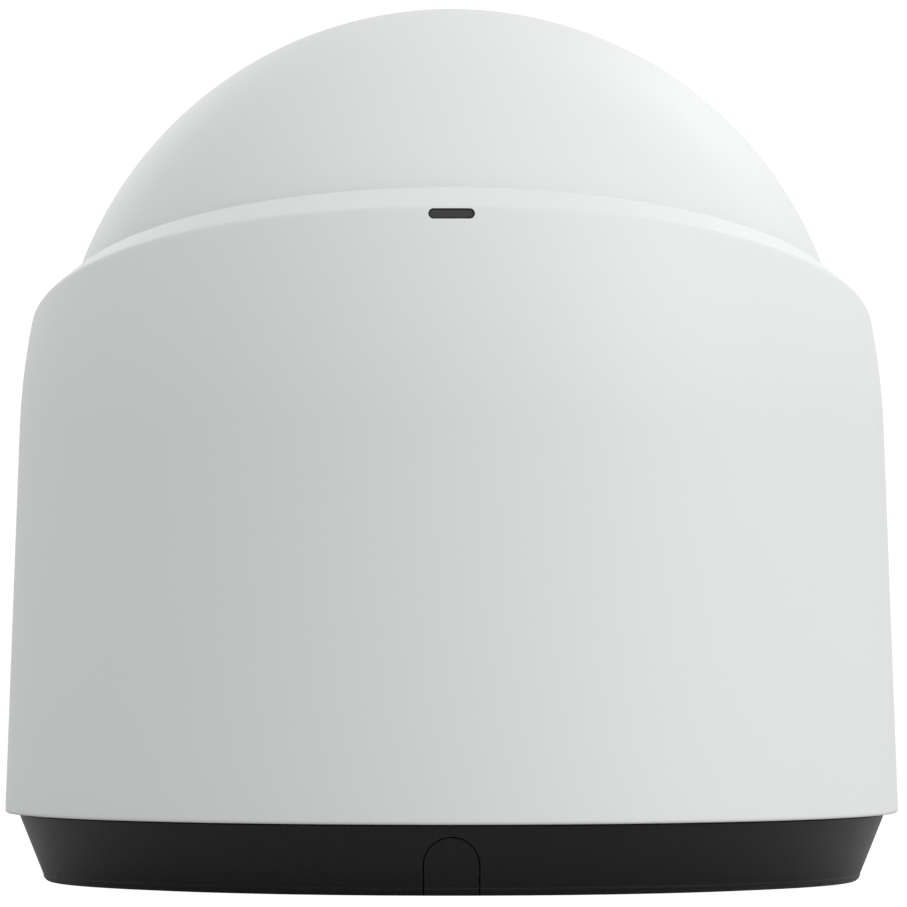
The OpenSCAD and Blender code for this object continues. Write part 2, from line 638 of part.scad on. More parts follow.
// ---------- chassis and tilt drive ----------
module head_chassis() color([0.6, 0.61, 0.63]) in_head() difference() {
    intersection() {
        rod_f(44, chassis_f[0], chassis_f[1]);
        block([-60, -60, -29], [60, 60, 29]);
    }
    rod_f(13.2, 0, 9);
    both_sides() block([36, -20, -15], [60, 20, 15]);
    four_posts() rod_f(1, 0, 9);
}
module chassis_screws() color(steel) in_head() four_posts()
    translate([0, -chassis_f[1], 0]) rotate([90, 0, 0]) screw(0, 11);
module tilt_motor_bracket() color(steel) in_head() difference() {
    union() {
        block([36, 3, -11], [37.4, 24.5, 11]);
        block([27, -3, -11], [37.4, -1.6, 11]);
        for (z = [-11, 9.4]) block([36, -3, z], [37.4, 5, z + 1.6]);
    }
    rod_x(2.5, 30, 40, tilt_centre);
}
module tilt_motor() color([0.55, 0.56, 0.58]) in_head() {
    rod_x(7.8, 20, 36, tilt_centre);
    rod_x(2.4, 36, 37.8, tilt_centre);
    rod_x(0.95, 37.5, tilt_gear_x[1] + 0.5, tilt_centre);
}
module tilt_bushings() color(brass) in_head() both_sides() difference() {
    union() {
        rod_x(6, 47, side_flat_x);
        rod_x(8, 46, 47.5);
    }
    rod_x(axle_r + clearance, 40, 60);
}
module head_flex_cable() color(cable_orange) in_head() {
    block([-17, 3.4, -2], [-16.7, 6, 2]);
    block([-38.2, 5.7, -2], [-16.7, 6, 2]);
    block([-38.2, -0.15, -2], [-37.9, 6, 2]);
    block([-54, -0.15, -2], [-37.9, 0.15, 2]);
}

base_shell();
cable_knockout();
mounting_plate();
base_gasket();
main_board();
board_components();
ethernet_jack();
reset_switch();
reset_button();
board_screws();
base_deck();
deck_screws();
pan_ring_gear();
bearing_inner_race();
bearing_cage();
bearing_balls();
bearing_outer_race();
pan_flex_cable();
pan_pinion();
pan_motor();
yoke_frame();
tilt_axle_right();
tilt_axle_left();
tilt_fixed_gear();
housing();
housing_screws();
status_light_pipe();
status_light_board();
head_rear_shell();
head_front_shell();
face_window();
lens_bezel();
cover_glass();
lens_barrel();
front_lens();
spacer_ring();
guide_rods();
zoom_carrier();
zoom_lens();
zoom_screw();
zoom_motor();
focus_carrier();
focus_lens();
focus_screw();
focus_motor();
infrared_cut_filter();
filter_actuator();
sensor_bracket();
image_sensor();
sensor_board();
heat_sink();
infrared_lamp_board();
infrared_lamps();
head_chassis();
chassis_screws();
tilt_motor();
tilt_motor_bracket();
tilt_pinion();
tilt_bushings();
head_flex_cable();
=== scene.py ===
"""Round pan-tilt-zoom camera: the skins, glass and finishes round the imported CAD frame."""

import json
import math

import bpy
import numpy as np
from bpy.props import FloatProperty, FloatVectorProperty, IntProperty, PointerProperty, StringProperty
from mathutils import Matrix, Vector


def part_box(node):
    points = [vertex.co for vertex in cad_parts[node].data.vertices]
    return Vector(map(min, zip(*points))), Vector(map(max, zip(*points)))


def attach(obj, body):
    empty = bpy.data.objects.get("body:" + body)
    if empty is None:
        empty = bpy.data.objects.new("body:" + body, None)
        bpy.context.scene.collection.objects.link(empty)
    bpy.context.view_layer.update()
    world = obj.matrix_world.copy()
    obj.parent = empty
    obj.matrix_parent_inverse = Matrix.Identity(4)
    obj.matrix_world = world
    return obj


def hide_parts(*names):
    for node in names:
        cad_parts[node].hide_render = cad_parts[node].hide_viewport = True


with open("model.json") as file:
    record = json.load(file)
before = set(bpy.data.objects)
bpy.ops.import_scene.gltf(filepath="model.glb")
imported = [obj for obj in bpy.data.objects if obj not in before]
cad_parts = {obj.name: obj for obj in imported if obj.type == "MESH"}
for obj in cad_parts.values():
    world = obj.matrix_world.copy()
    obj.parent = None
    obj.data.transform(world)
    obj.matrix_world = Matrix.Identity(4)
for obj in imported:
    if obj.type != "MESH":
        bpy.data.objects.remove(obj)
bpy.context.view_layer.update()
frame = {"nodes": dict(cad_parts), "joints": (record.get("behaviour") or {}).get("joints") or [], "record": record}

bl_info = {
    "name": "Round PTZ camera",
    "version": (1, 0, 0),
    "blender": (4, 5, 0),
    "location": "View3D > Sidebar > PTZ camera",
    "description": "Builds the skins, glass, finishes and stage of a round pan-tilt-zoom camera",
    "category": "Object",
}

MM = 0.001
NODES = frame["nodes"]
TAU = 2 * math.pi
# The ball's centre and the way the lens looks, from the tilt joint and the zoom slide
TILT = next(j for j in frame["joints"] if j["name"] == "tilt")
ZOOM = next(j for j in frame["joints"] if j["name"] == "zoom_slide")
CENTRE = np.array(TILT["pos_m"])
FORWARD = -np.array(ZOOM["axis"])
ACROSS = np.array([1.0, 0.0, 0.0])
UPWARD = np.cross(FORWARD, ACROSS)


def rgb(code):
    """The linear colour of an sRGB hex value such as E8EAEA."""
    c = np.array([int(code[i : i + 2], 16) / 255 for i in (0, 2, 4)])
    return tuple(np.where(c <= 0.04045, c / 12.92, ((c + 0.055) / 1.055) ** 2.4))


# ---------- sizes, colours and light that a user would change ----------


def length(name, description, mm, low, high):
    """A length property whose default is given in millimetres."""
    return FloatProperty(
        name=name, description=description, default=mm * MM, min=low * MM, max=high * MM,
        unit="LENGTH", precision=5,
    )


def colour(name, description, code):
    """A colour property whose default is an sRGB hex value."""
    return FloatVectorProperty(
        name=name, description=description, default=rgb(code), subtype="COLOR", size=3, min=0, max=1
    )


class PtzSizes(bpy.types.PropertyGroup):
    """Sizes of the skins, all inside the CAD frame."""

    ball_radius: length("Ball radius", "Radius of the ball head", 53.25, 50, 54)
    ball_gap: length("Ball gap", "Gap between the ball and the housing's bore", 1.5, 1, 2)
    shell_wall: length("Shell wall", "Thickness of the ball's shells", 2.0, 1, 3)
    seam: length("Seam", "Distance of the shells' seam in front of the ball's centre", 22.0, 18, 24)
    window_radius: length("Window radius", "Radius of the dark face window", 24.0, 20, 26)
    rim_edge: length("Rim edge", "Rounding of the rim's two edges", 0.45, 0.1, 1)
    rim_rise: length("Rim rise", "Distance from the ball's centre to the rim's ridge", 13.6, 12, 15)
    rim_slope: FloatProperty(
        name="Rim slope", description="Slope of the rim from front to back",
        default=math.radians(15.6), subtype="ANGLE", min=0.2, max=0.35,
    )
    rim_chamfer: FloatProperty(
        name="Rim chamfer", description="Radius gained by the chamfer per unit of depth",
        default=1.09, min=0.8, max=1.4,
    )
    draft: FloatProperty(
        name="Draft", description="Radius lost by the barrel per unit of height",
        default=0.0369, min=0, max=0.1,
    )
    crown_height: length("Crown height", "Height where the barrel starts to curve in", 60.6, 55, 65)
    crown_radius: length("Crown radius", "Radius of that curve", 91.0, 80, 100)
    turns: IntProperty(
        name="Steps round", description="Number of steps round each turned surface",
        default=256, min=64, max=512,
    )


class PtzColours(bpy.types.PropertyGroup):
    """Base colours of the finishes."""

    white: colour("White mouldings", "Cool white polycarbonate of housing and ball", "E9EBEB")
    black: colour("Black mouldings", "Black ABS of the base", "111112")
    window: colour("Face window", "Smoked polycarbonate of the face", "08080A")
    light_pipe: colour("Light pipe", "Smoked window of the status light", "2C2D2E")
    coating: colour("Lens coating", "Tint of the coated glass", "5C6488")


class PtzStage(bpy.types.PropertyGroup):
    """Camera, floor and studio light."""

    distance: FloatProperty(
        name="Camera distance", description="From the camera to the pan axis",
        default=1.153, min=0.3, max=3, unit="LENGTH",
    )
    height: FloatProperty(
        name="Camera height", description="Height of the camera above the floor",
        default=0.0419, min=0.01, max=1, unit="LENGTH",
    )
    aim: FloatProperty(
        name="Aim height", description="Height on the pan axis that the camera looks at",
        default=0.0574, min=0, max=0.2, unit="LENGTH",
    )
    aside: FloatProperty(
        name="Aside", description="Shift of the camera and its aim towards -X",
        default=0.00024, min=0, max=0.01, unit="LENGTH", precision=5,
    )
    lens: FloatProperty(
        name="Lens", description="Focal length in millimetres", default=339.9, min=20, max=600
    )
    key: FloatProperty(name="Key light", description="Power of the key light", default=7.8, min=0, max=200)
    rim: FloatProperty(name="Rim light", description="Power of the rim light", default=1.3, min=0, max=200)
    fill: FloatProperty(
        name="Fill light", description="Power of the fill light", default=1.7, min=0, max=200
    )
    around: FloatProperty(
        name="Surroundings", description="Strength of the white surroundings", default=0.75, min=0, max=3
    )
    backdrop: StringProperty(name="Backdrop", description="Name of the floor piece", default="floor")


# ---------- shapes ----------


def outward(verts, faces):
    """The faces, turned over if their triple products add up to less than 0, which means an inside-out
    surface (the sum is six times its volume)."""
    a, b, c = verts[faces[:, 0]], verts[faces[:, 1]], verts[faces[:, 2]]
    volume = np.einsum("ij,ij->i", a, np.cross(b, c)).sum()
    if faces.shape[1] == 4:
        d = verts[faces[:, 3]]
        volume += np.einsum("ij,ij->i", a, np.cross(c, d)).sum()
    return faces[:, ::-1] if volume < 0 else faces


def sheet_faces(rows, columns, loop_rows):
    """Quads of a grid whose columns close on themselves, and whose rows do too if loop_rows is true."""
    r = np.arange(rows if loop_rows else rows - 1)[:, None]
    c = np.arange(columns)[None, :]
    here, next_row = r * columns, (r + 1) % rows * columns
    next_c = (c + 1) % columns
    quads = np.broadcast_arrays(here + c, here + next_c, next_row + next_c, next_row + c)
    return np.stack(quads, -1).reshape(-1, 4)


def piece(name, surface, body, slot, replaced, sharp=32.0):
    """Puts a closed surface into a mesh object that rides on a body and stands for CAD nodes."""
    verts, faces = surface
    mesh = bpy.data.meshes.new(name)
    mesh.from_pydata(verts.tolist(), [], faces)
    mesh.validate()
    mesh.update()
    mesh.shade_smooth()
    mesh.set_sharp_from_angle(angle=math.radians(sharp))
    obj = bpy.data.objects.new(name, mesh)
    bpy.context.scene.collection.objects.link(obj)
    mesh.materials.append(finish(slot))
    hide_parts(*replaced)
    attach(obj, body)
    return obj


def rounded(points, radius, corners, steps=5):
    """A profile with its named corners rounded: each corner becomes a quadratic curve that starts and ends
    one radius away from it on its two neighbours' lines. points is (profile, ..., axes)."""
    out = []
    n = len(points)
    for k in range(n):
        p = points[k]
        if k not in corners:
            out.append(p[None])
            continue
        a, b = points[k - 1], points[(k + 1) % n]
        before = p + (a - p) * np.minimum(1, radius / np.linalg.norm(a - p, axis=-1, keepdims=True))
        after = p + (b - p) * np.minimum(1, radius / np.linalg.norm(b - p, axis=-1, keepdims=True))
        t = np.linspace(0, 1, steps).reshape(-1, *([1] * p.ndim))
        out.append((1 - t) ** 2 * before + 2 * t * (1 - t) * p + t**2 * after)
    return np.concatenate(out)


def arc(radius, start, end, steps):
    """Points (radius*sin, radius*cos) of a circle from one angle to another, in (distance out, forward)."""
    t = np.linspace(start, end, steps)
    return np.stack([radius * np.sin(t), radius * np.cos(t)], -1)


def turned(profile, turns, poles):
    """A profile in (distance out, forward) turned round the lens axis: point = centre + out * (cos u across
    + sin u upward) + forward * axis. With poles, the first and last points are single and on the axis."""
    u = np.linspace(0, TAU, turns, endpoint=False)
    ring = np.cos(u)[:, None] * ACROSS + np.sin(u)[:, None] * UPWARD
    rows = profile[1:-1] if poles else profile
    grid = CENTRE + rows[:, 0, None, None] * ring[None] + rows[:, 1, None, None] * FORWARD
    verts = grid.reshape(-1, 3)
    quads = sheet_faces(len(rows), turns, not poles)
    if not poles:
        return verts, outward(verts, quads).tolist()
    n = len(verts)
    ends = CENTRE + profile[[0, -1], 1, None] * FORWARD
    verts = np.concatenate([verts, ends])
    c = np.arange(turns)
    c1 = (c + 1) % turns
    last = (len(rows) - 1) * turns
    first_fan = np.stack([np.full(turns, n), c1, c], -1)
    last_fan = np.stack([np.full(turns, n + 1), last + c, last + c1], -1)
    flipped = outward(verts, quads)
    if flipped is not quads:
        first_fan, last_fan = first_fan[:, ::-1], last_fan[:, ::-1]
    return verts, flipped.tolist() + first_fan.tolist() + last_fan.tolist()


def housing_surface(s):
    """The housing as one closed surface of (place on its section, angle round the pan axis). The outside is
    a drafted line under an arc, up to where it meets a cone on the sloping axis; the cone is the chamfer;
    then the bore, a sphere round the ball's centre, a straight collar and the inside of the wall."""
    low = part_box("housing")[0].z
    outer = -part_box("housing")[0].x
    c = CENTRE[2]
    bore = s.ball_radius + s.ball_gap
    wall, collar = 2.2 * MM, 58 * MM
    ridge = math.sqrt(bore**2 - s.rim_rise**2)
    u = np.linspace(0, TAU, 2 * s.turns, endpoint=False)
    cos, sin = np.cos(u), np.sin(u)
    ts, tc = math.sin(s.rim_slope), math.cos(s.rim_slope)

    def barrel(z):
        past = np.maximum(z - s.crown_height, 0)
        tangent = outer - s.draft * (z - low)
        return tangent - (s.crown_radius - np.sqrt(s.crown_radius**2 - past**2))

    def depth_and_reach(radius, z):
        """Distance along the sloping axis from the ball's centre, and distance from that axis."""
        x, y, h = radius * cos, radius * sin, z - c
        along = -y * ts + h * tc
        return along, np.sqrt(np.maximum(x * x + y * y + h * h - along**2, 0))

    def solve(over, lo, hi):
        """The height between lo and hi at which over turns positive, by halving."""
        lo, hi = np.full(len(u), lo), np.full(len(u), hi)
        for _ in range(40):
            mid = (lo + hi) / 2
            up = over(mid) > 0
            lo, hi = np.where(up, lo, mid), np.where(up, mid, hi)
        return (lo + hi) / 2

    def above_chamfer(z):
        along, reach = depth_and_reach(barrel(z), z)
        return reach - ridge - s.rim_chamfer * (s.rim_rise - along)

    def bore_at(z):
        return np.sqrt(np.maximum(bore**2 - np.maximum(z - c, 0) ** 2, 0))

    def above_ridge(z):
        along, _ = depth_and_reach(np.sqrt(np.maximum(bore**2 - (z - c) ** 2, 0)), z)
        return along - s.rim_rise

    lowest, highest = 45 * MM, 100 * MM
    edge_z = solve(above_chamfer, lowest, highest)
    ridge_z = solve(above_ridge, lowest, highest)
    ridge_out = np.sqrt(bore**2 - (ridge_z - c) ** 2)

    def row(radius, z):
        radius, z = np.broadcast_arrays(radius * np.ones_like(u), z * np.ones_like(u))
        return np.stack([radius * cos, radius * sin, z], -1)

    rise = np.linspace(0, 1, 72)[:, None]
    z_out = low + (edge_z - low) * rise
    outside = [row(barrel(z), z) for z in z_out]
    band = [row(*(np.array([barrel(edge_z), edge_z]) * (1 - t) + np.array([ridge_out, ridge_z]) * t))
            for t in (0.25, 0.5, 0.75)]
    bore_end = np.minimum(ridge_z - 0.5 * MM, collar)
    down = [ridge_z + (bore_end - ridge_z) * t for t in np.linspace(0, 1, 12)]
    bore_rows = [row(bore_at(z), z) for z in down]
    step = down[-1]
    inside_top = row(barrel(step) - wall, step)
    inside = [row(barrel(step + (low - step) * t) - wall, step + (low - step) * t) for t in (0.33, 0.66)]
    foot = row(barrel(low * np.ones_like(u)) - wall, low)
    rows = outside + band + bore_rows + [inside_top] + inside + [foot]
    # the foot's outer edge, the chamfer's lower edge and the ridge
    edges = {0, len(outside) - 1, len(outside) + len(band)}
    points = rounded(np.stack(rows), s.rim_edge, edges)
    verts = points.reshape(-1, 3)
    return verts, outward(verts, sheet_faces(len(points), len(u), True)).tolist()


def slot_height():
    """Height of the status slot's middle: the light pipe's flange reaches 0.75 mm above it."""
    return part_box("status_light_pipe")[1].z - 0.75 * MM


def pill_prism(width, height, y0, y1, z, turns=48):
    """A pill-shaped bar along Y: two half circles of the height's radius, pushed apart to the width."""
    u = np.linspace(0, TAU, turns, endpoint=False) + TAU / turns / 2
    r = height / 2
    x = r * np.cos(u) + np.sign(np.cos(u)) * (width - height) / 2
    h = z + r * np.sin(u)
    return np.stack([np.stack([x, np.full(turns, y), h], -1) for y in (y0, y1)])


def capped(rings):
    """Faces of stacked closed rings with a flat cap at each end."""
    rows, turns = rings.shape[:2]
    verts = rings.reshape(-1, 3)
    quads = sheet_faces(rows, turns, False)
    turned_over = outward(verts, quads) is not quads
    first = list(range(turns))[::-1]
    last = list(range((rows - 1) * turns, rows * turns))
    faces = quads[:, ::-1].tolist() if turned_over else quads.tolist()
    return verts, faces + ([first[::-1], last[::-1]] if turned_over else [first, last])


# ---------- finishes ----------


def add(tree, kind, inputs=None, **settings):
    """One node, with its settings; an input is a value or another node's output socket."""
    n = tree.nodes.new(kind)
    for key, value in settings.items():
        setattr(n, key, value)
    for key, value in (inputs or {}).items():
        if isinstance(value, bpy.types.NodeSocket):
            tree.links.new(value, n.inputs[key])
        else:
            n.inputs[key].default_value = value
    return n


def blank(name):
    """A new material with a bare shader and output, and the object's own coordinates."""
    material = bpy.data.materials.new(name)
    material.use_nodes = True
    tree = material.node_tree
    tree.nodes.clear()
    shader = add(tree, "ShaderNodeBsdfPrincipled")
    add(tree, "ShaderNodeOutputMaterial", {"Surface": shader.outputs[0]})
    place = add(tree, "ShaderNodeTexCoord").outputs["Object"]
    return material, tree, shader, place


def set_all(shader, **values):
    """Constants straight on the shader's sockets."""
    for key, value in values.items():
        shader.inputs[key.replace("_", " ")].default_value = value


def speckle(tree, place, grain_mm, detail, squeeze=(1, 1, 1)):
    """Noise whose grains are this many millimetres across, divided by the squeeze of each axis."""
    at = add(tree, "ShaderNodeMapping", {"Vector": place, "Scale": squeeze})
    return add(tree, "ShaderNodeTexNoise", {
        "Vector": at.outputs[0], "Scale": 1 / (grain_mm * MM), "Detail": detail, "Roughness": 0.55,
    }).outputs["Fac"]


def tint(tree, shader, noise, base, low, high):
    """Colour that varies a little with the noise, between low and high times the base colour."""
    dark, light = (*(c * low for c in base), 1), (*(min(1, c * high) for c in base), 1)
    mix = add(tree, "ShaderNodeMix", {0: noise, 6: dark, 7: light}, data_type="RGBA")
    tree.links.new(mix.outputs[2], shader.inputs["Base Color"])


def rough_and_bump(tree, shader, noise, low, high, bump_mm):
    """Roughness between low and high with the noise, and a bump of that height."""
    span = add(tree, "ShaderNodeMapRange", {"Value": noise, "To Min": low, "To Max": high})
    tree.links.new(span.outputs[0], shader.inputs["Roughness"])
    bump = add(tree, "ShaderNodeBump", {"Height": noise, "Distance": bump_mm * MM, "Strength": 1.0})
    tree.links.new(bump.outputs[0], shader.inputs["Normal"])


def moulded_polycarbonate(base):
    """White polycarbonate from a spark-eroded mould: even and matt, with a grain of about 0.5 mm that is
    felt more than seen, and a soft glow under the surface that lifts the shaded side."""
    material, tree, shader, place = blank("moulded_polycarbonate")
    grain = speckle(tree, place, 0.5, 3)
    cloud = speckle(tree, place, 28, 1)
    tint(tree, shader, cloud, base, 0.992, 1.008)
    rough_and_bump(tree, shader, grain, 0.50, 0.60, 0.006)
    set_all(shader, IOR=1.585, Subsurface_Weight=0.08, Subsurface_Scale=0.6 * MM,
            Subsurface_Radius=(1.0, 1.0, 1.0))
    return material


def eroded_abs(base):
    """Black ABS from a coarse eroded mould: grains about 0.45 mm that catch light at grazing angles."""
    material, tree, shader, place = blank("eroded_abs")
    grain = speckle(tree, place, 0.45, 3)
    tint(tree, shader, grain, base, 0.82, 1.25)
    rough_and_bump(tree, shader, grain, 0.36, 0.48, 0.02)
    set_all(shader, IOR=1.54, Specular_IOR_Level=0.36, Sheen_Weight=0.07, Sheen_Roughness=0.3)
    return material


def polished_smoke(base):
    """Smoked polycarbonate, polished: a deep black gloss with a hint of orange peel over about 9 mm."""
    material, tree, shader, place = blank("polished_smoked_polycarbonate")
    peel = speckle(tree, place, 9, 1)
    tint(tree, shader, peel, base, 0.9, 1.1)
    rough_and_bump(tree, shader, peel, 0.035, 0.07, 0.004)
    set_all(shader, IOR=1.585, Specular_IOR_Level=0.35)
    return material


def diffusing_smoke(base):
    """Smoked light pipe with a satin face: dark grey, with soft lighter patches about 2 mm across."""
    material, tree, shader, place = blank("diffusing_smoked_polycarbonate")
    cloud = speckle(tree, place, 2.2, 1)
    tint(tree, shader, cloud, base, 0.8, 1.4)
    rough_and_bump(tree, shader, cloud, 0.28, 0.36, 0.003)
    set_all(shader, IOR=1.585)
    return material


def coated_glass(base, name="coated_glass", tinge=0.9):
    """Optical glass with an anti-reflection coat: tinted, with a faint violet-blue bloom."""
    material, tree, shader, place = blank(name)
    cloud = speckle(tree, place, 12, 1)
    tint(tree, shader, cloud, base, tinge, 1.0)
    rough_and_bump(tree, shader, cloud, 0.01, 0.02, 0.0005)
    set_all(shader, IOR=1.52, Transmission_Weight=0.92, Coat_Weight=0.35, Coat_Roughness=0.02,
            Coat_Tint=(0.62, 0.66, 1.0, 1.0))
    return material


def metal(name, code, low, high, grain_mm, squeeze=(1, 1, 1), bump_mm=0.004):
    """A metal whose surface marks are grain_mm across, or less along an axis with a squeeze above 1."""
    material, tree, shader, place = blank(name)
    marks = speckle(tree, place, grain_mm, 4, squeeze)
    tint(tree, shader, marks, rgb(code), 0.9, 1.06)
    rough_and_bump(tree, shader, marks, low, high, bump_mm)
    set_all(shader, Metallic=1.0)
    return material


def plastic(name, code, low, high, grain_mm, ior=1.5, bump_mm=0.006, spread=0.06):
    """A moulded or coated plastic with grains of the given size."""
    material, tree, shader, place = blank(name)
    grain = speckle(tree, place, grain_mm, 3)
    tint(tree, shader, grain, rgb(code), 1 - spread, 1 + spread)
    rough_and_bump(tree, shader, grain, low, high, bump_mm)
    set_all(shader, IOR=ior)
    return material


def solder_mask_board():
    """Glass-epoxy board under green solder mask, with thin pale lines round fields of 3 by 1.5 mm."""
    material, tree, shader, place = blank("solder_mask_board")
    tracks = add(tree, "ShaderNodeTexBrick", {
        "Vector": place, "Scale": 1 / (6 * MM), "Mortar Size": 0.03,
        "Color1": (*rgb("0F5A34"), 1), "Color2": (*rgb("0C4A2B"), 1), "Mortar": (*rgb("2F8A58"), 1),
    })
    tree.links.new(tracks.outputs["Color"], shader.inputs["Base Color"])
    weave = speckle(tree, place, 0.5, 2)
    rough_and_bump(tree, shader, weave, 0.28, 0.42, 0.01)
    set_all(shader, IOR=1.5, Coat_Weight=0.3, Coat_Roughness=0.2)
    return material


def finishes(c):
    """Every finish by the record's slot name."""
    return {
        "white_plastic": moulded_polycarbonate(c.white),
        "black_plastic": eroded_abs(c.black),
        "window_plastic": polished_smoke(c.window),
        "smoked_light_pipe": diffusing_smoke(c.light_pipe),
        "lens_glass": coated_glass(c.coating),
        "filter_glass": coated_glass(rgb("8FD6CC"), "cut_filter_glass", 0.8),
        # zinc-plated steel: pale grey with a fine milky spangle
        "steel": metal("zinc_plated_steel", "A9ACB2", 0.28, 0.42, 1.2),
        # ground and polished: bright, with hair-fine marks
        "bright_steel": metal("ground_steel", "C9CACC", 0.12, 0.22, 0.4, (1, 1, 6)),
        # bead-blasted and clear anodised: soft silver
        "aluminium": metal("anodised_aluminium", "B9BBBF", 0.34, 0.46, 0.5),
        # turned brass: warm, with cutter marks
        "brass": metal("turned_brass", "C9A055", 0.18, 0.30, 0.35, (1, 1, 8)),
        # glass-filled nylon: dark grey with pale fibre ends
        "yoke_plastic": plastic("glass_filled_nylon", "2B2C2E", 0.45, 0.62, 0.7, spread=0.2, bump_mm=0.02),
        # natural acetal: milky and waxy
        "gear_plastic": plastic("natural_acetal", "DCD9CD", 0.30, 0.40, 1.0, ior=1.48),
        "board": solder_mask_board(),
        # moulded epoxy packages: dead matt black
        "component": plastic("moulded_epoxy", "1B1B1D", 0.60, 0.72, 0.3, bump_mm=0.01),
        # clear epoxy lamps: glossy and pale
        "lamp": plastic("clear_epoxy", "D9DCE6", 0.05, 0.10, 2.0),
        # closed-cell rubber: soft black
        "rubber": plastic("closed_cell_rubber", "1E1E1E", 0.75, 0.90, 0.6, ior=1.52, bump_mm=0.03),
        # polyimide flat cable: amber gloss
        "flex_cable": plastic("polyimide_film", "B8691F", 0.15, 0.25, 1.5, ior=1.7),
        # moulded cap: mid grey and half matt
        "button": plastic("grey_moulding", "9A9C9F", 0.4, 0.5, 0.5),
    }


# The finishes by slot, made when the first one is asked for
FINISHES = {}


def finish(slot):
    """The finish of a slot, made once with the colours of the scene's settings."""
    if not FINISHES:
        FINISHES.update(finishes(bpy.context.scene.ptz_colours))
    return FINISHES[slot]


# ---------- stage ----------

# Brightness of the floor and the surroundings as the camera sees them
SEEN_WHITE = 1.05
# The dark disc of painted shade under the foot, the floor round it and their height, in metres
DISC_RADIUS, FLOOR_RADIUS, FLOOR_LEVEL = 0.0505, 8, -0.0002


def aimed(obj, place, target):
    """Puts an object into the scene at a place, turned to look at the target."""
    obj.location = place
    obj.rotation_euler = (Vector(target) - obj.location).to_track_quat("-Z", "Y").to_euler()
    bpy.context.scene.collection.objects.link(obj)
    return obj


def seen_apart(tree, real, seen):
    """A mix of two shaders: the second for the camera's own rays and the first for all others."""
    by_camera = add(tree, "ShaderNodeLightPath").outputs["Is Camera Ray"]
    return add(tree, "ShaderNodeMixShader", {0: by_camera, 1: real, 2: seen}).outputs[0]


def place_camera(scene, stage):
    """A long lens, a little above the floor and behind the object."""
    data = bpy.data.cameras.new("camera")
    data.lens, data.sensor_width = stage.lens, 36
    data.clip_start, data.clip_end = 0.01, 50
    camera = bpy.data.objects.new("camera", data)
    place = (-stage.aside, stage.distance, stage.height)
    scene.camera = aimed(camera, place, (-stage.aside, 0, stage.aim))


def painted_board():
    """Painted board with a glow that only the camera sees, so that it shows as an even white."""
    material, tree, shader, place = blank("painted_white_board")
    cloud = speckle(tree, place, 400, 1)
    tint(tree, shader, cloud, (0.52, 0.52, 0.52), 0.99, 1.0)
    set_all(shader, Roughness=0.9)
    glow = add(tree, "ShaderNodeEmission", {"Strength": SEEN_WHITE}).outputs[0]
    out = next(n for n in tree.nodes if n.type == "OUTPUT_MATERIAL")
    tree.links.new(seen_apart(tree, shader.outputs[0], glow), out.inputs["Surface"])
    return material


def painted_shade_board():
    """Nearly black material for the disc of painted shade under the foot, in place of the shade there."""
    material, tree, shader, place = blank("shaded_floor")
    # a nearly black colour: painted shade under the foot
    tint(tree, shader, speckle(tree, place, 400, 1), (0.02, 0.02, 0.02), 0.9, 1.0)
    set_all(shader, Roughness=0.9)
    return material


def lay_floor(scene, stage):
    """A wide white ring round the foot, and the dark disc of painted shade that the foot stands on."""
    turns = 96
    u = np.linspace(0, TAU, turns, endpoint=False)
    circle = np.stack([np.cos(u), np.sin(u), 0 * u], -1)
    level = np.array([0, 0, FLOOR_LEVEL])
    verts = np.concatenate([circle * DISC_RADIUS + level, circle * FLOOR_RADIUS + level])
    ring = sheet_faces(2, turns, False)[:, ::-1].tolist()
    mesh = bpy.data.meshes.new(stage.backdrop)
    mesh.from_pydata(verts.tolist(), [], ring + [list(range(turns))])
    # the disc gets the second material, the painted shade under the foot
    mesh.polygons[turns].material_index = 1
    floor = bpy.data.objects.new(stage.backdrop, mesh)
    scene.collection.objects.link(floor)
    mesh.materials.append(painted_board())
    mesh.materials.append(painted_shade_board())


def surround(scene, stage):
    """White surroundings: soft on the object, and an even white where the camera sees them."""
    world = bpy.data.worlds.new("surroundings")
    scene.world = world
    world.use_nodes = True
    tree = world.node_tree
    tree.nodes.clear()
    soft, bright = [
        add(tree, "ShaderNodeBackground", {"Color": (1, 1, 1, 1), "Strength": strength}).outputs[0]
        for strength in (stage.around, SEEN_WHITE)
    ]
    add(tree, "ShaderNodeOutputWorld", {"Surface": seen_apart(tree, soft, bright)})


def hang_lights(stage):
    """A wide key light on the camera's side, and two smaller lights beyond the object."""
    for name, power, size, place in (
        ("key", stage.key, 1.2, (-1.18, 0.68, 0.70)),
        ("rim", stage.rim, 0.5, (0.52, -1.15, 0.5)),
        ("fill", stage.fill, 0.5, (-0.62, -1.0, 0.8)),
    ):
        lamp = bpy.data.lights.new(name, "AREA")
        lamp.energy, lamp.shape, lamp.size = power, "DISK", size
        aimed(bpy.data.objects.new(name, lamp), place, (0, 0, 0.06))


# ---------- operators ----------


class Maker(bpy.types.Operator):
    """Base of the operators below."""

    bl_options = {"REGISTER", "UNDO"}

    def execute(self, context):
        """Makes the pieces, and lets any error stop the script."""
        self.make(context.scene.ptz_sizes)
        return {"FINISHED"}


